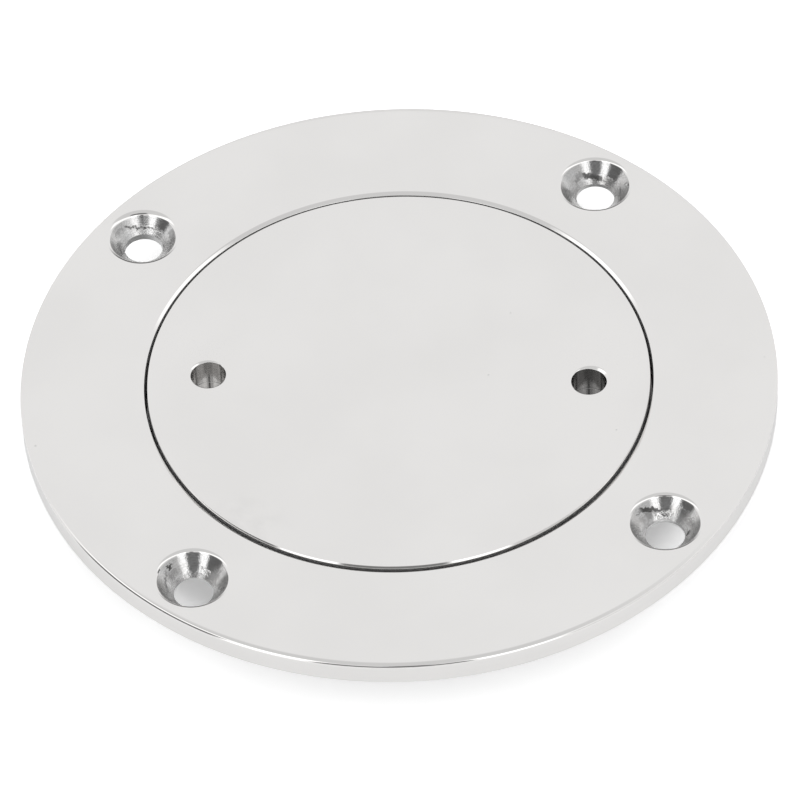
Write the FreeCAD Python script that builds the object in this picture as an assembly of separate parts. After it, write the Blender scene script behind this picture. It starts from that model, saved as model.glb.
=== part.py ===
"""Deck inspection plate: a flush round cover that screws down onto a rubber seal in a deck ring.

The origin is the centre of the flange's underside, so z = 0 is the deck, and +Z points up out of it.
All sizes are in millimetres and degrees.
"""
import FreeCAD, Part
import math
import os

# Thread that holds the cover in the ring
thread_dia = 76.0
thread_pitch = 2.0
thread_chamfer = 0.8

# Cover
head_overhang = 4.2
head_thk = 4.0
head_chamfer = 0.2
spigot_length = 9.2
spigot_wall = 4.0
ceiling_chamfer = 1.0

# Blind flat-bottomed holes for the pin spanner, in bosses under the cover
pin_hole_dia = 6.0
pin_hole_depth = 5.0
pin_hole_inset = 10.15
pin_line_angle = -10.3
pin_rim_chamfer = 0.2
boss_wall = 2.5
boss_floor = 2.2
boss_side_round = 1.5

# Seal under the head: a round cord ring, squeezed flat between the head and the ledge
seal_cord_dia = 3.0
seal_squeeze = 0.2
seal_clearance = 0.5
seal_side_flats = 4

# Deck ring: flange above the deck, and a neck through it that narrows to the threaded sleeve
flange_thk = 4.0
flange_land = 17.5
flange_edge_round = 0.4
flange_foot_chamfer = 0.15
cover_gap = 0.5
recess_chamfer = 0.6
seal_mouth_chamfer = 0.3
neck_wall = 3.3
neck_root_chamfer = 1.0
ledge_back = 3.0
shoulder_angle = 45.0
sleeve_wall = 4.5
sleeve_past_spigot = 3.3

# Countersunk screw holes in the flange
screw_count = 4
screw_first_angle = 45.0
screw_rim_distance = 8.2
screw_hole_dia = 6.5
screw_sink_dia = 11.5
screw_sink_angle = 90.0
screw_rim_chamfer = 0.2

# Radii, from the thread outwards; a metric thread's root lies 1.22687 pitches inside its diameter
bore_radius = thread_dia / 2
core_radius = (thread_dia - 1.22687 * thread_pitch) / 2
hollow_radius = core_radius - spigot_wall
sleeve_radius = bore_radius + sleeve_wall
cover_radius = bore_radius + head_overhang
recess_radius = cover_radius + cover_gap
neck_radius = recess_radius + neck_wall
flange_radius = neck_radius + flange_land
screw_circle_radius = flange_radius - screw_rim_distance
pin_circle_radius = cover_radius - pin_hole_inset
boss_radius = pin_hole_dia / 2 + boss_wall

# Heights, from the deck
head_top = flange_thk
head_under = head_top - head_thk
seal_height = seal_cord_dia * (1 - seal_squeeze)
ledge_top = head_under - seal_height
shoulder_top = ledge_top - ledge_back
shoulder_end = shoulder_top - (neck_radius - sleeve_radius) / math.tan(math.radians(shoulder_angle))
spigot_end = head_under - spigot_length
sleeve_end = spigot_end - sleeve_past_spigot
pin_bottom = head_top - pin_hole_depth
boss_end = pin_bottom - boss_floor

# Helpers for the solids
origin = FreeCAD.Vector(0, 0, 0)
z_axis = FreeCAD.Vector(0, 0, 1)
past_face = 1.0
same_place = 1e-4


def at(radius, height):
    """Point of a section, in the plane y = 0."""
    return FreeCAD.Vector(radius, 0, height)


def on_circle(radius, angle, height):
    """Point at an angle on a circle round the axis."""
    turn = math.radians(angle)
    return FreeCAD.Vector(radius * math.cos(turn), radius * math.sin(turn), height)


def rounded_corner(before, corner, after, radius):
    """Arc of a given radius that rounds a corner of a section."""
    back = (before - corner).normalize()
    ahead = (after - corner).normalize()
    half = back.getAngle(ahead) / 2
    reach = radius / math.tan(half)
    inward = (back + ahead).normalize() * (radius / math.sin(half) - radius)
    return Part.Arc(corner + back * reach, corner + inward, corner + ahead * reach)


def turned(corners):
    """Solid turned about the axis from corners (radius, height) or (radius, height, rounding)."""
    points = [at(corner[0], corner[1]) for corner in corners]
    arcs = {}
    for i, corner in enumerate(corners):
        if len(corner) == 3:
            after = points[(i + 1) % len(points)]
            arcs[i] = rounded_corner(points[i - 1], points[i], after, corner[2])
    edges = []
    for i, point in enumerate(points):
        j = (i + 1) % len(points)
        if i in arcs:
            edges.append(arcs[i].toShape())
        start = arcs[i].EndPoint if i in arcs else point
        end = arcs[j].StartPoint if j in arcs else points[j]
        edges.append(Part.LineSegment(start, end).toShape())
    section = Part.Face(Part.Wire(edges))
    return section.revolve(origin, z_axis, 360)


def ring_body():
    """Flange, recess for the cover's head, ledge for the seal, and neck with its threaded sleeve."""
    return turned([
        (bore_radius, sleeve_end + thread_chamfer),
        (bore_radius + thread_chamfer, sleeve_end),
        (sleeve_radius - thread_chamfer, sleeve_end),
        (sleeve_radius, sleeve_end + thread_chamfer),
        (sleeve_radius, shoulder_end),
        (neck_radius, shoulder_top),
        (neck_radius, -neck_root_chamfer),
        (neck_radius + neck_root_chamfer, 0),
        (flange_radius - flange_foot_chamfer, 0),
        (flange_radius, flange_foot_chamfer),
        (flange_radius, flange_thk, flange_edge_round),
        (recess_radius + recess_chamfer, flange_thk),
        (recess_radius, flange_thk - recess_chamfer),
        (recess_radius, ledge_top),
        (bore_radius + seal_mouth_chamfer, ledge_top),
        (bore_radius, ledge_top - seal_mouth_chamfer),
    ])


def screw_hole():
    """Tool for one countersunk hole with an eased rim, centred under the origin."""
    hole_radius = screw_hole_dia / 2
    sink_radius = screw_sink_dia / 2
    slope = math.tan(math.radians(screw_sink_angle / 2))
    sink_depth = (sink_radius - hole_radius) / slope
    rim_drop = screw_rim_chamfer / 2
    return turned([
        (0, -flange_thk - past_face),
        (hole_radius, -flange_thk - past_face),
        (hole_radius, -sink_depth),
        (sink_radius - rim_drop * slope, -rim_drop),
        (sink_radius - rim_drop * slope + screw_rim_chamfer, 0),
        (sink_radius - rim_drop * slope + screw_rim_chamfer, past_face),
        (0, past_face),
    ])


def deck_ring():
    """The ring with its screw holes on their circle."""
    ring = ring_body()
    for i in range(screw_count):
        hole = screw_hole()
        hole.translate(on_circle(screw_circle_radius, screw_first_angle + i * 360 / screw_count, flange_thk))
        ring = ring.cut(hole)
    return ring


def cover_body():
    """Head and hollow spigot, with the spigot turned to the thread's root."""
    return turned([
        (0, head_top),
        (cover_radius - head_chamfer, head_top),
        (cover_radius, head_top - head_chamfer),
        (cover_radius, head_under),
        (core_radius, head_under),
        (core_radius, spigot_end + thread_chamfer),
        (core_radius - thread_chamfer, spigot_end),
        (hollow_radius, spigot_end),
        (hollow_radius, head_under),
        (0, head_under),
    ])


def boss():
    """Boss that backs the pin hole on the +X side. It grows out of the spigot's wall and the head."""
    height = head_under + past_face - boss_end
    column = Part.makeCylinder(boss_radius, height, at(pin_circle_radius, boss_end))
    inside_spigot = Part.makeCylinder(core_radius - spigot_wall / 2, height, at(0, boss_end))
    return column.common(inside_spigot)


def pin_hole():
    """Tool for the blind hole on the +X side, with its eased rim and its flat bottom."""
    tool = turned([
        (0, pin_bottom),
        (pin_hole_dia / 2, pin_bottom),
        (pin_hole_dia / 2, head_top - pin_rim_chamfer),
        (pin_hole_dia / 2 + pin_rim_chamfer, head_top),
        (pin_hole_dia / 2 + pin_rim_chamfer, head_top + past_face),
        (0, head_top + past_face),
    ])
    tool.translate(at(pin_circle_radius, 0))
    return tool


def hollow_edges(shape, bottom, top):
    """Edges of the hollow that span exactly from one height to another."""
    found = []
    for edge in shape.Edges:
        reach = max(math.hypot(point.X, point.Y) for point in edge.Vertexes)
        box = edge.BoundBox
        spans = abs(box.ZMin - bottom) < same_place and abs(box.ZMax - top) < same_place
        if spans and reach < hollow_radius + same_place:
            found.append(edge)
    return found


def cover():
    """The lid with its bosses and spanner holes, turned to where the thread brings it home."""
    body = cover_body()
    for side in (0, 180):
        backing = boss()
        backing.rotate(origin, z_axis, side)
        body = body.fuse(backing)
    body = body.removeSplitter()
    body = body.makeFillet(boss_side_round, hollow_edges(body, boss_end, head_under))
    body = body.makeChamfer(ceiling_chamfer, hollow_edges(body, head_under, head_under))
    for side in (0, 180):
        hole = pin_hole()
        hole.rotate(origin, z_axis, side)
        body = body.cut(hole)
    body.rotate(origin, z_axis, pin_line_angle)
    return body


def o_ring():
    """The seal as it lies squeezed: flat above and below, bulged at its sides in narrow flats."""
    half = seal_height / 2
    flat = (math.pi * seal_cord_dia ** 2 / 4 - math.pi * half ** 2) / seal_height
    inner = core_radius + seal_clearance + half
    outer = inner + flat
    middle = head_under - half
    section = []
    for centre, start in ((outer, -90), (inner, 90)):
        for i in range(seal_side_flats + 1):
            turn = math.radians(start + i * 180 / seal_side_flats)
            section.append((centre + half * math.cos(turn), middle + half * math.sin(turn)))
    return turned(section)


os.makedirs("parts", exist_ok=True)
pieces = {"deck_ring": deck_ring(), "cover": cover(), "o_ring": o_ring()}
for name, shape in pieces.items():
    solid = shape.Solids[0]
    solid.exportStep("parts/" + name + ".step")
    print(name, solid.isValid(), round(solid.Volume, 1))
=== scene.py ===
"""Looks of the deck inspection plate: polished steel ring and cover with their threads, rubber seal.

Sizes are in millimetres in this script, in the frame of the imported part, and become metres when a mesh
is made. z = 0 is the deck, under the flange.
"""
import math

import bpy
from mathutils import Matrix, Vector
from mathutils.geometry import delaunay_2d_cdt


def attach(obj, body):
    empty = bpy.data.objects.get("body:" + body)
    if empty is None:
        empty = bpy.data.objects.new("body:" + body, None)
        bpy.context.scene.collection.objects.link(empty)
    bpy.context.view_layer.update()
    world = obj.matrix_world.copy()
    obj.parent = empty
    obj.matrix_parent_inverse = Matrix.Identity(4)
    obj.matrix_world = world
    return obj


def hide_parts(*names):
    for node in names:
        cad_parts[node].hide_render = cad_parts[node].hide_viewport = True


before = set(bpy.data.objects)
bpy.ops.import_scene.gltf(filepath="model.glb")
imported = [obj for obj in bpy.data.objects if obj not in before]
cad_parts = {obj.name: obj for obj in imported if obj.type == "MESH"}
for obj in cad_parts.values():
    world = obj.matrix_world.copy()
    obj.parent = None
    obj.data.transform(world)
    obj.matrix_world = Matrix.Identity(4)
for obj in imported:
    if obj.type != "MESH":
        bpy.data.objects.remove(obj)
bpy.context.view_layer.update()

MM = 0.001
POLISHED, SUNK, DRILLED, BORED, TURNED = range(5)

# Sizes of the part
FLANGE_R = 63.5
TOP = 4.0
RECESS_R = 42.7
LEDGE = -2.4
NECK_R = 46.0
BORE_R = 38.0
SLEEVE_R = 42.5
SLEEVE_END = -12.5
SHOULDER_TOP = -5.4
SHOULDER_END = -8.9
COVER_R = 42.2
CORE_R = 36.773
HOLLOW_R = 32.773
SPIGOT_END = -9.2
SCREW_CIRCLE = 55.3
SCREW_R = 3.25
SCREW_SHIFT = (0.05, 0.22)
PIN_CIRCLE = 32.05
PIN_R = 3.0
PIN_DEPTH = 5.0
PIN_LINE = -10.3
BOSS_R = 5.5
BOSS_SIDE = 1.5
BOSS_END = -3.2
CEILING_STEP = 1.0
THREAD_STEP = 0.8
PITCH = 2.0

ROUND = 480
HOLE = 96

# Screw holes, countersunk by hand: place round the flange, radius and depth of the cone, rounding of the
# rim, side to which the rim is dragged over, and its rounding there
SCREW_HOLES = [(45, 6.1, 3.3, 0.8, 90, 0.95), (135, 5.95, 2.8, 1.15, 90, 1.5),
               (225, 6.08, 3.65, 0.8, 100, 1.0), (315, 6.0, 3.45, 0.8, 85, 1.0)]

# Spanner holes: place on the cover, side to which the rim is dragged over, width of the rim and its most
PIN_HOLES = [(31.93, -0.22, 58, 0.05, 0.5), (-31.98, -0.08, 132, 0.05, 0.32)]

# Wear in the countersinks: hole, radius, half width, direction, half span, strength, slant
WEAR = [
    (135, 4.07, 0.09, 74, 24, 0.95, 0.0),
    (135, 4.45, 0.14, 110, 14, 0.85, 1.4),
    (135, 5.05, 0.5, 2, 16, 0.5, 0.0),
    (135, 4.15, 0.35, 183, 20, 0.55, 0.0),
    (135, 4.9, 0.2, 145, 14, 0.3, 0.0),
    (45, 4.15, 0.36, 90, 20, 1.0, 0.9),
    (45, 3.8, 0.25, 72, 8, 0.85, 0.0),
    (45, 4.6, 0.4, 118, 9, 0.4, 0.0),
    (45, 4.25, 0.25, 127, 7, 0.5, 0.0),
    (45, 5.76, 0.1, -6, 3, 0.8, 0.0),
    (45, 3.4, 0.15, 184, 8, 0.8, 0.0),
    (225, 5.25, 0.22, 132, 5, 1.0, 0.0),
    (225, 5.25, 0.1, 125, 2, 0.9, 0.0),
    (225, 4.6, 0.12, 162, 20, 0.6, -1.3),
    (225, 4.5, 0.4, 131, 11, 0.3, 0.0),
    (315, 4.62, 0.27, 107, 24, 1.0, 1.5),
    (315, 3.78, 0.2, 79, 5, 0.85, 0.0),
    (315, 4.15, 0.4, 112, 16, 0.45, 1.2),
    (315, 5.1, 0.15, 138, 9, 0.5, 0.0),
    (315, 3.75, 0.3, -10, 6, 0.85, 0.0),
]

# Painted highlights in the countersinks: lighter, grainy patches with more bump where glints show, in the same
# order
PAINTED_GLINTS = [
    (225, 3.95, 0.35, 54, 12, 0.8, 0.0),
    (315, 3.7, 0.55, 86, 22, 1.0, 0.0),
    (315, 4.3, 0.8, 30, 25, 0.4, 0.0),
    (45, 5.34, 0.15, -1, 2.5, 1.0, 0.0),
    (135, 3.7, 0.3, 60, 30, 0.4, 0.0),
]

# Scuffs on the polished rims of the countersinks, in the same order
SCUFFS = [
    (135, 5.82, 0.1, 91, 13, 0.8, 0.0),
    (225, 5.9, 0.08, 154, 4, 0.95, 0.0),
    (225, 5.72, 0.06, 44, 11, 0.7, 0.0),
    (315, 5.9, 0.06, 84, 13, 0.7, 0.0),
    (315, 5.62, 0.05, 30, 30, 0.6, 0.0),
    (45, 5.86, 0.05, 84, 12, 0.5, 0.0),
    (45, 5.7, 0.05, 45, 12, 0.5, 0.0),
]


# Meshes

def unit(x, y):
    size = math.hypot(x, y)
    return (x / size, y / size)


def section(corners, closed=True, steps=8):
    """Points of a section with the normals before and after each, and the span of points of each corner.

    A corner is (radius, height, finish after it) or (radius, height, finish, rounding). The section runs
    counter-clockwise round the solid, and a rounding has the finer finish of its two faces.
    """
    points = []
    spans = []
    count = len(corners)
    for i, corner in enumerate(corners):
        here = corner[:2]
        first = len(points)
        before = after = None
        if closed or i > 0:
            back = corners[i - 1]
            before = unit(here[0] - back[0], here[1] - back[1])
        if closed or i < count - 1:
            ahead = corners[(i + 1) % count]
            after = unit(ahead[0] - here[0], ahead[1] - here[1])
        before = before or after
        after = after or before
        normal_in = (before[1], -before[0])
        normal_out = (after[1], -after[0])
        rounding = corner[3] if len(corner) > 3 else 0
        if rounding:
            cross = before[0] * after[1] - before[1] * after[0]
            turn = math.atan2(cross, before[0] * after[0] + before[1] * after[1])
            side = 1 if turn > 0 else -1
            reach = rounding * math.tan(abs(turn) / 2)
            centre = (here[0] - before[0] * reach - side * normal_in[0] * rounding,
                      here[1] - before[1] * reach - side * normal_in[1] * rounding)
            eased = min(corner[2], corners[i - 1][2])
            for k in range(steps + 1):
                angle = turn * k / steps
                normal = (normal_in[0] * math.cos(angle) - normal_in[1] * math.sin(angle),
                          normal_in[0] * math.sin(angle) + normal_in[1] * math.cos(angle))
                point = (centre[0] + side * normal[0] * rounding, centre[1] + side * normal[1] * rounding)
                points.append((point, normal, normal, corner[2] if k == steps else eased))
        else:
            points.append((here, normal_in, normal_out, corner[2]))
        spans.append((first, len(points) - 1))
    return points, spans


class Skin:
    """Mesh of one piece, with the true normal of the form and a finish at every face."""

    def __init__(self):
        self.points = []
        self.faces = []
        self.normals = []
        self.finishes = []

    def add(self, points):
        start = len(self.points)
        self.points.extend(points)
        return list(range(start, len(self.points)))

    def face(self, corners, normals, finish):
        kept = [i for i, corner in enumerate(corners) if corners[i - 1] != corner]
        if len(kept) < 3:
            return
        corners = [corners[i] for i in kept]
        normals = [normals[i] for i in kept]
        a, b, c = (Vector(self.points[corners[i]]) for i in range(3))
        across = (b - a).cross(c - a)
        if across.dot(Vector(normals[0]) + Vector(normals[1]) + Vector(normals[2])) < 0:
            corners.reverse()
            normals.reverse()
        self.faces.append(corners)
        self.normals.extend(normals)
        self.finishes.append(finish)

    def strip(self, one, two, one_normals, two_normals, finish, closed=True):
        for i in range(len(one) if closed else len(one) - 1):
            j = (i + 1) % len(one)
            self.face([one[i], one[j], two[j], two[i]],
                      [one_normals[i], one_normals[j], two_normals[j], two_normals[i]], finish)

    def turned(self, corners, centre=(0, 0), segments=ROUND, closed=True, open_after=(), steps=8):
        """Surface turned about an upright axis. Returns the first and last ring of each corner.

        The corners may be a function of the angle, for an edge that is worn more at one side.
        """
        turns = [2 * math.pi * k / segments for k in range(segments)]
        circle = [(math.cos(turn), math.sin(turn)) for turn in turns]
        if callable(corners):
            made = [section(corners(turn), closed, steps) for turn in turns]
        else:
            made = [section(corners, closed, steps)] * segments
        spans = made[0][1]
        rows = list(zip(*(points for points, _ in made)))
        rings = []
        for row in rows:
            if row[0][0][0] < 1e-6:
                rings.append(self.add([(centre[0], centre[1], row[0][0][1])]) * segments)
            else:
                rings.append(self.add([(centre[0] + p[0] * c, centre[1] + p[0] * s, p[1])
                                       for (p, _, _, _), (c, s) in zip(row, circle)]))
        left_open = {spans[i][1] for i in open_after}
        for i in range(len(rows) if closed else len(rows) - 1):
            if i in left_open:
                continue
            j = (i + 1) % len(rows)
            outs = [(out[0] * c, out[0] * s, out[1]) for (_, _, out, _), (c, s) in zip(rows[i], circle)]
            intos = [(into[0] * c, into[0] * s, into[1]) for (_, into, _, _), (c, s) in zip(rows[j], circle)]
            self.strip(rings[i], rings[j], outs, intos, rows[i][0][3])
        return [(rings[first], rings[last]) for first, last in spans]

    def flat(self, loops, up, finish):
        """Level face between an outer loop and the loops of its holes."""
        owners = [i for loop in loops for i in loop]
        plane = [Vector(self.points[i][:2]) for i in owners]
        edges = []
        start = 0
        for loop in loops:
            edges += [(start + k, start + (k + 1) % len(loop)) for k in range(len(loop))]
            start += len(loop)
        triangles = delaunay_2d_cdt(plane, edges, [], 0, 1e-7)[2]
        normal = (0, 0, 1 if up else -1)
        sides = [(plane[a], plane[b]) for a, b in edges]
        for triangle in triangles:
            x = sum(plane[i].x for i in triangle) / 3
            y = sum(plane[i].y for i in triangle) / 3
            inside = False
            for a, b in sides:
                if (a.y > y) != (b.y > y) and x < a.x + (b.x - a.x) * (y - a.y) / (b.y - a.y):
                    inside = not inside
            if inside:
                self.face([owners[i] for i in triangle], [normal] * 3, finish)

    def ridge(self, corners, start_height, end_height, run_out, finish, stations=120):
        """Thread: a section (radius, height from the ridge's middle) carried up a right-hand helix.

        The last corner lies in the wall that carries the ridge, and the ridge sinks into it at both ends.
        """
        turns = (end_height - start_height) / PITCH
        count = int(turns * stations)
        root = corners[-1][0]
        rows = []
        for k in range(count + 1):
            turn = turns * k / count
            full = min(1, turn / run_out, (turns - turn) / run_out)
            full = max(full, 0.02)
            angle = 2 * math.pi * turn
            middle = start_height + PITCH * turn
            c, s = math.cos(angle), math.sin(angle)
            row = []
            for r, z in corners:
                reach = root + (r - root) * full
                row.append((reach * c, reach * s, middle + z * (0.4 + 0.6 * full)))
            rows.append((self.add(row), c, s))
        for i, corner in enumerate(corners):
            j = (i + 1) % len(corners)
            along = unit(corners[j][0] - corner[0], corners[j][1] - corner[1])
            nr, nz = along[1], -along[0]
            for (here, c0, s0), (there, c1, s1) in zip(rows, rows[1:]):
                near = (nr * c0, nr * s0, nz)
                far = (nr * c1, nr * s1, nz)
                self.face([here[i], here[j], there[j], there[i]], [near, near, far, far], finish)

    def make(self, name, materials, angle=0.0):
        mesh = bpy.data.meshes.new(name)
        spin = Matrix.Rotation(math.radians(angle), 3, "Z")
        mesh.from_pydata([spin @ Vector(p) * MM for p in self.points], [], self.faces)
        mesh.polygons.foreach_set("use_smooth", [True] * len(self.faces))
        mesh.polygons.foreach_set("material_index", self.finishes)
        for material in materials:
            mesh.materials.append(material)
        mesh.normals_split_custom_set([spin @ Vector(n) for n in self.normals])
        mesh.update()
        piece = bpy.data.objects.new(name, mesh)
        bpy.context.scene.collection.objects.link(piece)
        return piece


def worn_round(turn, towards, least, most):
    """Rounding of a rim that the buffing wheel has dragged over at one side."""
    return least + (most - least) * max(0, math.cos(turn - math.radians(towards))) ** 1.2


def screw_centre(angle):
    """Middle of a screw hole: the drilled circle lies a little to one side of the flange's."""
    turn = math.radians(angle)
    return (SCREW_CIRCLE * math.cos(turn) + SCREW_SHIFT[0], SCREW_CIRCLE * math.sin(turn) + SCREW_SHIFT[1])


def screw_hole(skin, angle, radius, depth, least, towards, most):
    """Countersunk screw hole. Returns its loops in the top and bottom faces of the flange."""
    rings = skin.turned(lambda at: [
        (radius + 0.66, TOP, POLISHED),
        (radius, TOP, SUNK, worn_round(at, towards, least, most)),
        (SCREW_R, TOP - depth, DRILLED, 0.12),
        (SCREW_R, 0, TURNED, 0.1),
        (SCREW_R + 0.3, 0, TURNED),
    ], screw_centre(angle), HOLE, closed=False)
    return rings[0][0], rings[-1][0]


def pin_hole(skin, x, y, towards, least, most):
    """Blind hole for one pin of the spanner, with a dished rim. Returns its loop in the top face."""
    def corners(at):
        rim = worn_round(at, towards, least, most)
        return [
            (PIN_R + 0.7, TOP, POLISHED),
            (PIN_R + rim, TOP, POLISHED, 0.3),
            (PIN_R, TOP - 0.65 * rim, BORED, 0.04),
            (PIN_R, TOP - PIN_DEPTH, BORED, 0.1),
            (0, TOP - PIN_DEPTH, BORED),
        ]
    return skin.turned(corners, (x, y), HOLE, closed=False)[0][0]


def deck_ring():
    skin = Skin()
    rings = skin.turned(lambda at: [
        (BORE_R, SLEEVE_END + THREAD_STEP, TURNED),
        (BORE_R + THREAD_STEP, SLEEVE_END, TURNED),
        (SLEEVE_R - THREAD_STEP, SLEEVE_END, TURNED),
        (SLEEVE_R, SLEEVE_END + THREAD_STEP, TURNED),
        (SLEEVE_R, SHOULDER_END, TURNED, 0.3),
        (NECK_R, SHOULDER_TOP, TURNED, 0.3),
        (NECK_R, -1.0, TURNED, 0.3),
        (NECK_R + 1.0, 0, TURNED, 0.3),
        (FLANGE_R, 0, POLISHED, 0.15),
        (FLANGE_R, TOP - 0.0946, POLISHED, worn_round(at, -125, 0.15, 0.65)),
        (FLANGE_R - 0.9, TOP, POLISHED, 4.0),
        (RECESS_R + 0.6, TOP, POLISHED, worn_round(at, 90, 0.2, 0.8)),
        (RECESS_R, TOP - worn_round(at, -90, 0.32, 0.55), TURNED, 0.12),
        (RECESS_R, LEDGE, TURNED, 0.15),
        (BORE_R, LEDGE, TURNED, 0.3),
    ], open_after=(7, 10))
    holes = [screw_hole(skin, *hole) for hole in SCREW_HOLES]
    skin.flat([rings[10][1], rings[11][0]] + [top for top, _ in holes], True, POLISHED)
    skin.flat([rings[8][0], rings[7][1]] + [bottom for _, bottom in holes], False, TURNED)
    skin.ridge([(BORE_R + 0.05, 0.825), (36.95, 0.2), (36.95, -0.2), (BORE_R + 0.05, -0.825)],
               -11.6, -3.5, 0.25, TURNED)
    return skin


def hollow_outline(inset):
    """Outline of the cover's hollow between its two bosses: points and normals into the hollow."""
    wall = HOLLOW_R - inset
    foot = BOSS_R + inset
    side = BOSS_SIDE - inset
    far = HOLLOW_R - BOSS_SIDE
    near = BOSS_R + BOSS_SIDE
    at_axis = math.acos((far ** 2 + PIN_CIRCLE ** 2 - near ** 2) / (2 * far * PIN_CIRCLE))
    fx, fy = far * math.cos(at_axis), far * math.sin(at_axis)
    at_boss = math.atan2(fy, fx - PIN_CIRCLE)
    quarter = []
    for k in range(16):
        angle = math.pi + (at_boss - math.pi) * k / 16
        c, s = math.cos(angle), math.sin(angle)
        quarter.append((PIN_CIRCLE + foot * c, foot * s, c, s, True))
    for k in range(10):
        angle = at_boss - math.pi + (at_axis - at_boss + math.pi) * k / 10
        c, s = math.cos(angle), math.sin(angle)
        quarter.append((fx + side * c, fy + side * s, -c, -s, True))
    for k in range(97):
        angle = at_axis + (math.pi / 2 - at_axis) * k / 96
        c, s = math.cos(angle), math.sin(angle)
        quarter.append((wall * c, wall * s, -c, -s, False))
    half = quarter + [(-x, y, -nx, ny, boss) for x, y, nx, ny, boss in reversed(quarter[1:-1])]
    return half + [(-x, -y, -nx, -ny, boss) for x, y, nx, ny, boss in half]


def cover():
    def worn(at):
        return worn_round(at, -80, 0, 1)

    skin = Skin()
    rings = skin.turned(lambda at: [
        (CORE_R - 0.8, SPIGOT_END, TURNED),
        (CORE_R, SPIGOT_END + 0.8, TURNED),
        (CORE_R, 0, TURNED, 0.2),
        (COVER_R, 0, TURNED, 0.15),
        (COVER_R + 0.08 * worn(at), TOP - 0.1 - 0.28 * worn(at), POLISHED, 0.05 + 0.25 * worn(at)),
        (COVER_R - 0.06 - 0.1 * worn(at), TOP, POLISHED, 0.05),
        (COVER_R - 1.0, TOP, POLISHED),
    ], closed=False)
    holes = [pin_hole(skin, *hole) for hole in PIN_HOLES]
    skin.flat([rings[-1][0]] + holes, True, POLISHED)

    low = hollow_outline(0)
    high = hollow_outline(CEILING_STEP)
    flat_normals = [(nx, ny, 0) for _, _, nx, ny, _ in low]
    step_normals = [(nx * 0.7071, ny * 0.7071, -0.7071) for _, _, nx, ny, _ in low]
    ceiling = skin.add([(x, y, 0) for x, y, _, _, _ in high])
    shoulder = skin.add([(x, y, -CEILING_STEP) for x, y, _, _, _ in low])
    foot = skin.add([(x, y, BOSS_END) for x, y, _, _, _ in low])
    skin.flat([ceiling], False, TURNED)
    skin.strip(ceiling, shoulder, step_normals, step_normals, TURNED)
    skin.strip(shoulder, foot, flat_normals, flat_normals, TURNED)
    round_wall = []
    around = []
    for i, (x, y, _, _, boss) in enumerate(low):
        angle = math.atan2(y, x)
        around.append((-math.cos(angle), -math.sin(angle), 0))
        if boss:
            point = (HOLLOW_R * math.cos(angle), HOLLOW_R * math.sin(angle), BOSS_END)
            round_wall += skin.add([point])
        else:
            round_wall.append(foot[i])
    down = [(0, 0, -1)] * len(low)
    skin.strip(foot, round_wall, down, down, TURNED)
    rim = skin.add([(-HOLLOW_R * nx, -HOLLOW_R * ny, SPIGOT_END) for nx, ny, _ in around])
    skin.strip(round_wall, rim, around, around, TURNED)
    skin.flat([rings[0][0], rim], False, TURNED)
    skin.ridge([(CORE_R - 0.05, -0.85), (37.88, -0.125), (37.88, 0.125), (CORE_R - 0.05, 0.85)],
               -8.6, -3.5, 0.25, TURNED)
    return skin


def seal():
    """Cord ring pressed to four fifths of its height: flat above and below, bulged at both sides.

    Its flats lie a hair clear of the steel faces, so that no face of the mesh cuts another.
    """
    skin = Skin()
    middle, half = 39.0, 1.195
    flat = 0.53
    bulge = 1.73 - flat
    steps = 24
    ring = []
    for side in (1, -1):
        for k in range(steps + 1):
            angle = -math.pi / 2 + math.pi * k / steps
            ring.append((middle + side * (flat + bulge * math.cos(angle)),
                         LEDGE / 2 + side * half * math.sin(angle),
                         side * math.cos(angle) * half, side * math.sin(angle) * bulge))
    circle = [(math.cos(2 * math.pi * k / 320), math.sin(2 * math.pi * k / 320)) for k in range(320)]
    rows = [skin.add([(r * c, r * s, z) for c, s in circle]) for r, z, _, _ in ring]
    bends = []
    for _, _, nr, nz in ring:
        nr, nz = unit(nr, nz)
        bends.append([(nr * c, nr * s, nz) for c, s in circle])
    for i in range(len(rows)):
        j = (i + 1) % len(rows)
        skin.strip(rows[i], rows[j], bends[i], bends[j], 0)
    return skin


# Materials

class Graph:
    """Short ways to add and join shader nodes."""

    def __init__(self, tree):
        self.tree = tree
        tree.nodes.clear()

    def node(self, kind, inputs=(), **settings):
        made = self.tree.nodes.new(kind)
        for key, value in settings.items():
            setattr(made, key, value)
        for key, value in dict(inputs).items():
            self.put(made.inputs[key], value)
        return made

    def put(self, socket, value):
        if isinstance(value, bpy.types.NodeSocket):
            self.tree.links.new(value, socket)
        else:
            socket.default_value = value

    def math(self, operation, *values, clamp=False):
        return self.node("ShaderNodeMath", enumerate(values), operation=operation, use_clamp=clamp).outputs[0]

    def vector(self, operation, *values):
        made = self.node("ShaderNodeVectorMath", enumerate(values), operation=operation)
        return made.outputs["Value" if operation in ("LENGTH", "DISTANCE", "DOT_PRODUCT") else "Vector"]

    def ramp(self, value, low, high, out_low=0.0, out_high=1.0, smooth=True):
        made = self.node("ShaderNodeMapRange", {"Value": value, "From Min": low, "From Max": high,
                                                "To Min": out_low, "To Max": out_high})
        made.interpolation_type = "SMOOTHSTEP" if smooth else "LINEAR"
        return made.outputs["Result"]

    def mix(self, factor, one, two):
        made = self.node("ShaderNodeMix", data_type="RGBA")
        self.put(made.inputs[0], factor)
        self.put(made.inputs[6], one)
        self.put(made.inputs[7], two)
        return made.outputs[2]

    def noise(self, place, scale, detail=2.0, rough=0.5):
        return self.node("ShaderNodeTexNoise", {"Vector": place, "Scale": scale, "Detail": detail,
                                                "Roughness": rough}).outputs["Fac"]


def grey(tone, warm=0.0):
    return (tone * (1 + warm), tone, tone * (1 - warm), 1.0)


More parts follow.
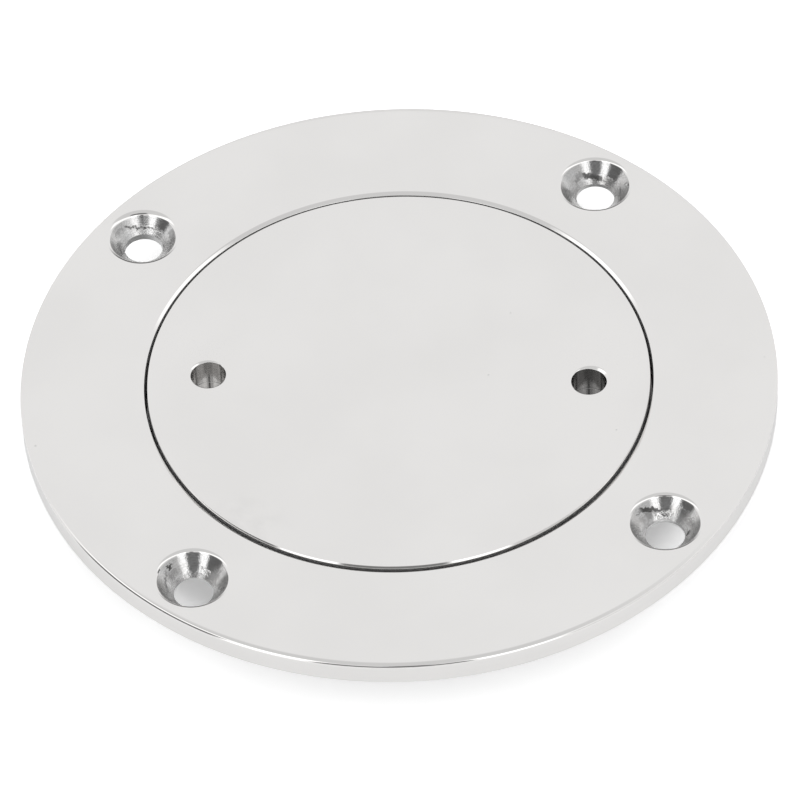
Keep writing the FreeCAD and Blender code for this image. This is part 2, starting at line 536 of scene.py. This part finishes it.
def new_material(name):
    material = bpy.data.materials.new(name)
    material.use_nodes = True
    graph = Graph(material.node_tree)
    shader = graph.node("ShaderNodeBsdfPrincipled")
    out = graph.node("ShaderNodeOutputMaterial")
    graph.put(out.inputs["Surface"], shader.outputs[0])
    place = graph.node("ShaderNodeTexCoord").outputs["Object"]
    return material, graph, shader, place


def bump(graph, shader, height, distance, strength=1.0):
    made = graph.node("ShaderNodeBump", {"Height": height, "Strength": strength, "Distance": distance})
    graph.put(shader.inputs["Normal"], made.outputs[0])


def arc(graph, place, mark, ragged):
    """Ragged mark on the rim or wall of a screw hole, as a mask."""
    hole, ring, width, towards, span, strength, slant = mark
    facing = math.radians(towards)
    c, s = math.cos(facing), math.sin(facing)
    centre = tuple(value * MM for value in screw_centre(hole)) + (0,)
    spoke = graph.vector("MULTIPLY", graph.vector("SUBTRACT", place, centre), (1, 1, 0))
    way = graph.vector("NORMALIZE", spoke)
    away = graph.math("ADD", graph.vector("LENGTH", spoke), ragged)
    aside = graph.math("MULTIPLY", graph.vector("DOT_PRODUCT", way, (-s, c, 0)), slant * MM)
    off = graph.math("ABSOLUTE", graph.math("SUBTRACT", graph.math("SUBTRACT", away, aside), ring * MM))
    inside = graph.ramp(graph.vector("DOT_PRODUCT", way, (c, s, 0)), math.cos(math.radians(span * 1.3)),
                        math.cos(math.radians(span * 0.8)))
    across = graph.ramp(off, width * 1.2 * MM, width * 0.6 * MM, 0.0, strength)
    return graph.math("MULTIPLY", inside, across)


def polished(name, specks=(), smudges=(), scuffs=()):
    """Mirror-polished steel with the faint cloudiness of hand buffing."""
    material, graph, shader, place = new_material(name)
    cloud = graph.noise(place, 45.0, 3.0)
    fine = graph.noise(place, 420.0, 2.0)
    tone = graph.mix(graph.ramp(cloud, 0.3, 0.7), grey(0.745, 0.012), grey(0.768, 0.012))
    for x, y, across, deep in smudges:
        away = graph.vector("DISTANCE", place, (x * MM, y * MM, TOP * MM))
        soft = graph.ramp(away, across * MM, 0.0, 0.0, deep)
        worn = graph.math("MULTIPLY", soft, graph.ramp(graph.noise(place, 300.0, 4.0), 0.35, 0.7))
        tone = graph.mix(worn, tone, grey(0.55, 0.01))
    for x, y, across, strength in specks:
        away = graph.vector("DISTANCE", place, (x * MM, y * MM, TOP * MM))
        tone = graph.mix(graph.ramp(away, across * MM, across * 0.4 * MM, 0.0, strength), tone, grey(0.3))
    for mark in scuffs:
        tone = graph.mix(arc(graph, place, mark, graph.math("MULTIPLY", fine, 0.00005)), tone, grey(0.06))
    graph.put(shader.inputs["Base Color"], tone)
    shader.inputs["Metallic"].default_value = 1.0
    graph.put(shader.inputs["Roughness"], graph.ramp(fine, 0.3, 0.7, 0.045, 0.075))
    bump(graph, shader, graph.noise(place, 160.0, 2.0), 0.000004)
    return material


def sunk(name):
    """Countersink: buffed at the rim, rougher below, with ragged dark spots that the wheel didn't reach, and
    painted shade on the side of each cone toward -Y.
    """
    material, graph, shader, place = new_material(name)
    middle = SCREW_CIRCLE * math.sqrt(0.5) * MM
    sides = graph.vector("SIGN", place)
    local = graph.vector("SUBTRACT", place, graph.vector("MULTIPLY", sides, (middle, middle, 0)))
    local = graph.vector("SUBTRACT", local, (SCREW_SHIFT[0] * MM, SCREW_SHIFT[1] * MM, 0))
    local = graph.vector("MULTIPLY", local, (1, 1, 0))
    radius = graph.vector("LENGTH", local)
    facing = graph.vector("DOT_PRODUCT", graph.vector("NORMALIZE", local), (0.092, 0.996, 0))
    grain = graph.noise(place, 3600.0, 3.0, 0.7)
    pits = graph.noise(place, 1500.0, 4.0, 0.6)
    patches = graph.noise(place, 420.0, 3.0, 0.6)
    grooves = graph.noise(graph.node("ShaderNodeCombineXYZ", {0: radius}).outputs[0], 5000.0, 2.0)
    ragged = graph.math("MULTIPLY", graph.math("SUBTRACT", pits, 0.5), 0.0013)
    reach = graph.math("MULTIPLY", graph.vector("DOT_PRODUCT", sides, (0, 1, 0)), 0.00025)
    buffed = graph.math("SUBTRACT", graph.math("ADD", radius, ragged), reach)
    deep = graph.ramp(buffed, 4.35 * MM, 3.65 * MM)
    # Side of each cone toward -Y: rougher steel, and painted shade in its tone below
    near_side_rough_and_shaded = graph.ramp(facing, 0.3, -0.4)
    rough_skin = graph.math("MAXIMUM", graph.math("MULTIPLY", deep, 0.55), near_side_rough_and_shaded)
    tone = graph.mix(graph.ramp(patches, 0.35, 0.7), grey(0.68), grey(0.58, 0.01))
    outer = graph.ramp(graph.math("ADD", radius, ragged), 4.3 * MM, 5.3 * MM)
    shade = graph.mix(outer, grey(0.56, 0.01), grey(0.34, 0.01))
    # Painted shade: that side of each cone is painted darker, darkest towards the rim
    tone = graph.mix(graph.math("MULTIPLY", near_side_rough_and_shaded, 0.8), tone, shade)
    tone = graph.mix(graph.ramp(grooves, 0.45, 0.7, 0.0, 0.25), tone, grey(0.38, 0.01))
    spots = graph.math("MULTIPLY", graph.ramp(pits, 0.56, 0.66), graph.ramp(patches, 0.48, 0.6))
    worn = graph.math("MULTIPLY", spots, graph.math("MULTIPLY", rough_skin, 0.8))
    for mark in WEAR:
        spread = graph.math("MULTIPLY", arc(graph, place, mark, ragged), graph.ramp(grain, 0.25, 0.45, 0.5, 1.0))
        worn = graph.math("MAXIMUM", worn, spread)
    glint_mask = None
    for mark in PAINTED_GLINTS:
        patch = arc(graph, place, mark, ragged)
        glint_mask = graph.math("MAXIMUM", glint_mask, patch) if glint_mask else patch
    tone = graph.mix(graph.ramp(grain, 0.42, 0.7, 0.0, 0.4), tone, grey(0.3, 0.01))
    tone = graph.mix(worn, tone, grey(0.1, 0.01))
    # Painted highlight: the glint patches are turned near white
    tone = graph.mix(graph.math("MULTIPLY", glint_mask, graph.ramp(grain, 0.45, 0.55)), tone, grey(0.95, 0.005))
    graph.put(shader.inputs["Base Color"], tone)
    shader.inputs["Metallic"].default_value = 1.0
    roughness = graph.ramp(rough_skin, 0.0, 1.0, 0.1, 0.26, smooth=False)
    roughness = graph.math("ADD", roughness, graph.math("MULTIPLY", worn, 0.2))
    graph.put(shader.inputs["Roughness"], roughness)
    height = graph.math("ADD", grain, graph.math("ADD", patches, graph.math("MULTIPLY", grooves, 0.4)))
    strength = graph.math("ADD", graph.ramp(rough_skin, 0.0, 1.0, 0.3, 0.9), graph.math("MULTIPLY", glint_mask, 0.8))
    bump(graph, shader, graph.math("MULTIPLY", height, strength), 0.00005)
    return material


def bored(name):
    """Wall of a hole cut by an end mill: bright, with faint upright streaks; the one at +X is painted darker, as
    painted shade.
    """
    material, graph, shader, place = new_material(name)
    side = graph.node("ShaderNodeSeparateXYZ", {0: place}).outputs["X"]
    streaks = graph.noise(graph.vector("MULTIPLY", place, (1, 1, 0.04)), 1800.0, 3.0)
    # Painted shade: the hole at +X gets the darker tones
    shaded_hole = graph.ramp(side, -MM, MM)
    light = graph.mix(shaded_hole, grey(0.55, 0.012), grey(0.375, 0.01))
    dark = graph.mix(shaded_hole, grey(0.49, 0.012), grey(0.335, 0.01))
    graph.put(shader.inputs["Base Color"], graph.mix(graph.ramp(streaks, 0.4, 0.65), light, dark))
    shader.inputs["Metallic"].default_value = 1.0
    graph.put(shader.inputs["Roughness"], graph.ramp(streaks, 0.3, 0.7, 0.1, 0.16))
    bump(graph, shader, streaks, 0.000004)
    return material


def drilled(name):
    """Bare wall of a drilled hole, with the rings of the drill."""
    material, graph, shader, place = new_material(name)
    upright = graph.node("ShaderNodeSeparateXYZ", {0: place}).outputs["Z"]
    rings = graph.noise(graph.node("ShaderNodeCombineXYZ", {2: upright}).outputs[0], 1800.0, 3.0)
    cloud = graph.noise(place, 500.0, 3.0)
    graph.put(shader.inputs["Base Color"], graph.mix(graph.ramp(cloud, 0.3, 0.7), grey(0.6), grey(0.72)))
    shader.inputs["Metallic"].default_value = 1.0
    graph.put(shader.inputs["Roughness"], graph.ramp(cloud, 0.3, 0.7, 0.14, 0.24))
    bump(graph, shader, rings, 0.00002)
    return material


def turned(name):
    """Steel as turned on the lathe: fine rings round the axis."""
    material, graph, shader, place = new_material(name)
    parts = graph.node("ShaderNodeSeparateXYZ", {0: place})
    across = graph.vector("LENGTH", graph.vector("MULTIPLY", place, (1, 1, 0)))
    line = graph.node("ShaderNodeCombineXYZ", {0: across, 2: parts.outputs["Z"]}).outputs[0]
    rings = graph.noise(line, 2600.0, 2.0)
    cloud = graph.noise(place, 60.0, 3.0)
    tone = graph.mix(graph.math("MULTIPLY", rings, cloud), grey(0.76), grey(0.68, 0.005))
    graph.put(shader.inputs["Base Color"], tone)
    shader.inputs["Metallic"].default_value = 1.0
    graph.put(shader.inputs["Roughness"], graph.ramp(rings, 0.3, 0.7, 0.44, 0.56))
    bump(graph, shader, rings, 0.00001)
    return material


def rubber(name):
    """Matt black rubber with a faint bloom."""
    material, graph, shader, place = new_material(name)
    cloud = graph.noise(place, 120.0, 4.0)
    grain = graph.noise(place, 4000.0, 2.0)
    tone = graph.mix(graph.ramp(cloud, 0.35, 0.75), grey(0.012), grey(0.03))
    graph.put(shader.inputs["Base Color"], tone)
    graph.put(shader.inputs["Roughness"], graph.ramp(cloud, 0.3, 0.7, 0.5, 0.68))
    bump(graph, shader, grain, 0.00003)
    return material


# Pieces

shared = [sunk("steel_countersink"), drilled("steel_drilled"), bored("steel_bored"), turned("steel_turned")]
ring_polish = polished("steel_polished_ring",
                       specks=[(-61.73, -5.77, 0.3, 0.22), (61.24, -5.16, 0.25, 0.12)],
                       scuffs=SCUFFS)
cover_polish = polished("steel_polished_cover",
                        specks=[(20.6, 11.65, 0.2, 0.3), (14.97, -1.86, 0.2, 0.3), (34.28, -17.55, 0.2, 0.3)],
                        smudges=[(-28.7, -28.1, 9.0, 0.2)])

ring_piece = deck_ring().make("deck_ring_steel", [ring_polish] + shared)
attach(ring_piece, "ring")
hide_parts("deck_ring")

cover_piece = cover().make("cover_steel", [cover_polish] + shared, PIN_LINE)
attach(cover_piece, "cover")
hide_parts("cover")

seal_piece = seal().make("seal", [rubber("seal_rubber")])
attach(seal_piece, "seal")
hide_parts("o_ring")


# Camera, from the outlines of the flange, the cover and the holes in the photograph

CAMERA_AZIMUTH = math.radians(-5.3)
CAMERA_ELEVATION = math.radians(47.34)
CAMERA_ROLL = math.radians(-2.836)
CAMERA_DISTANCE = 1169.6
FOCUS = 6978.0
IMAGE = 800
PLATE_X, PLATE_Y = 398.5, 377.3

towards = Vector((math.sin(CAMERA_AZIMUTH) * math.cos(CAMERA_ELEVATION),
                  -math.cos(CAMERA_AZIMUTH) * math.cos(CAMERA_ELEVATION),
                  math.sin(CAMERA_ELEVATION)))
level = Vector((math.cos(CAMERA_AZIMUTH), math.sin(CAMERA_AZIMUTH), 0))
steep = towards.cross(level)
right = level * math.cos(CAMERA_ROLL) + steep * math.sin(CAMERA_ROLL)
up = steep * math.cos(CAMERA_ROLL) - level * math.sin(CAMERA_ROLL)
plate = Vector((0, 0, TOP))
eye = plate + towards * CAMERA_DISTANCE
scale = CAMERA_DISTANCE / FOCUS
aim = plate + right * (IMAGE / 2 - PLATE_X) * scale - up * (IMAGE / 2 - PLATE_Y) * scale
back = (eye - aim).normalized()
right = (right - back * right.dot(back)).normalized()
up = back.cross(right)

camera_data = bpy.data.cameras.new("camera")
camera_data.sensor_width = 36.0
camera_data.lens = FOCUS / IMAGE * 36.0
camera_data.clip_start = 0.05
camera_data.clip_end = 50.0
camera = bpy.data.objects.new("camera", camera_data)
bpy.context.scene.collection.objects.link(camera)
camera.matrix_world = Matrix.Translation(eye * MM) @ Matrix((right, up, back)).transposed().to_4x4()
bpy.context.scene.camera = camera


# Floor and light

def floor():
    mesh = bpy.data.meshes.new("floor")
    reach = 3.0
    level_z = (SLEEVE_END - 0.02) * MM
    mesh.from_pydata([(-reach, -reach, level_z), (reach, -reach, level_z), (reach, reach, level_z),
                      (-reach, reach, level_z)], [], [(0, 1, 2, 3)])
    piece = bpy.data.objects.new("floor", mesh)
    bpy.context.scene.collection.objects.link(piece)
    material = bpy.data.materials.new("floor_white")
    material.use_nodes = True
    graph = Graph(material.node_tree)
    light_path = graph.node("ShaderNodeLightPath")
    # The floor is darker to light that has already bounced once, which deepens the shadow under the plate
    direct = graph.math("LESS_THAN", light_path.outputs["Diffuse Depth"], 0.5)
    matt = graph.node("ShaderNodeBsdfDiffuse", {"Color": graph.mix(direct, grey(0.5), grey(0.95))})
    # Painted shade: to the camera the floor glows less within about 50 mm of the axis, so it looks shadowed under
    # the plate, and more further out, lightening the real shadow beside the flange
    away = graph.vector("DISTANCE", graph.node("ShaderNodeTexCoord").outputs["Object"], (0, 0.005, SLEEVE_END * MM))
    glow_with_painted_shade = graph.ramp(away, 0.0495, 0.056, 0.17, 0.44)
    seen = graph.math("MULTIPLY", light_path.outputs["Is Camera Ray"], glow_with_painted_shade)
    mirrored = graph.math("MULTIPLY", graph.math("MULTIPLY", light_path.outputs["Is Glossy Ray"], direct), 0.06)
    glow = graph.node("ShaderNodeEmission", {"Color": grey(1.0), "Strength": graph.math("ADD", seen, mirrored)})
    both = graph.node("ShaderNodeAddShader", {0: matt.outputs[0], 1: glow.outputs[0]})
    out = graph.node("ShaderNodeOutputMaterial")
    graph.put(out.inputs["Surface"], both.outputs[0])
    mesh.materials.append(material)


def surround():
    """White studio: soft light from all sides, two brighter softboxes, darker gaps between them."""
    world = bpy.data.worlds.new("studio")
    bpy.context.scene.world = world
    world.use_nodes = True
    graph = Graph(world.node_tree)
    way = graph.node("ShaderNodeTexCoord").outputs["Generated"]
    parts = graph.node("ShaderNodeSeparateXYZ", {0: way})
    x, y, z = (parts.outputs[i] for i in range(3))
    c, s = math.cos(CAMERA_AZIMUTH), math.sin(CAMERA_AZIMUTH)
    sideways = graph.math("ADD", graph.math("MULTIPLY", x, c), graph.math("MULTIPLY", y, s))
    forwards = graph.math("SUBTRACT", graph.math("MULTIPLY", x, s), graph.math("MULTIPLY", y, c))
    azimuth = graph.math("ARCTAN2", sideways, forwards)
    elevation = graph.math("ARCSINE", z)

    def window(value, low, high, soft):
        rise = graph.ramp(value, math.radians(low - soft), math.radians(low + soft))
        fall = graph.ramp(value, math.radians(high + soft), math.radians(high - soft))
        return graph.math("MULTIPLY", rise, fall)

    tone = grey(1.0)
    for west, east, soft_a, low, high, soft_e, value in STUDIO:
        shape = graph.math("MULTIPLY", window(azimuth, west, east, soft_a), window(elevation, low, high, soft_e))
        tone = graph.mix(shape, tone, grey(value))
    light_path = graph.node("ShaderNodeLightPath")
    front = graph.math("MULTIPLY", window(azimuth, -75, 75, 25), window(elevation, 30, 62, 8))
    soft = graph.mix(front, grey(0.8), grey(1.9))
    shown = graph.mix(light_path.outputs["Is Diffuse Ray"], tone, soft)
    shown = graph.mix(light_path.outputs["Is Camera Ray"], shown, grey(1.0))
    background = graph.node("ShaderNodeBackground", {"Color": shown, "Strength": 1.0})
    out = graph.node("ShaderNodeOutputWorld")
    graph.put(out.inputs["Surface"], background.outputs[0])


# Azimuth from the camera's side, degrees: west, east, softness; elevation: low, high, softness; strength
STUDIO = [
    (-185, 185, 1, 57, 100, 4, 0.78),
    (40, 110, 10, 4, 34, 6, 0.72),
    (-125, -50, 4, 39, 57, 3, 1.45),
    (40, 125, 4, 39, 57, 3, 1.4),
    (-51, -26, 2.5, 2, 57, 3, 1.7),
    (16, 40, 2.5, 2, 57, 3, 1.7),
    (-26, 16, 2.5, 8, 42, 3, 0.24),
    (-7, 5, 3, 38, 54, 3, 0.2),
    (-95, -51, 3, 0, 36, 3, 0.18),
    (162, 195, 8, -20, 30, 5, 0.18),
    (-195, -162, 8, -20, 30, 5, 0.18),
]

floor()
surround()

bpy.context.scene.view_settings.view_transform = "Standard"
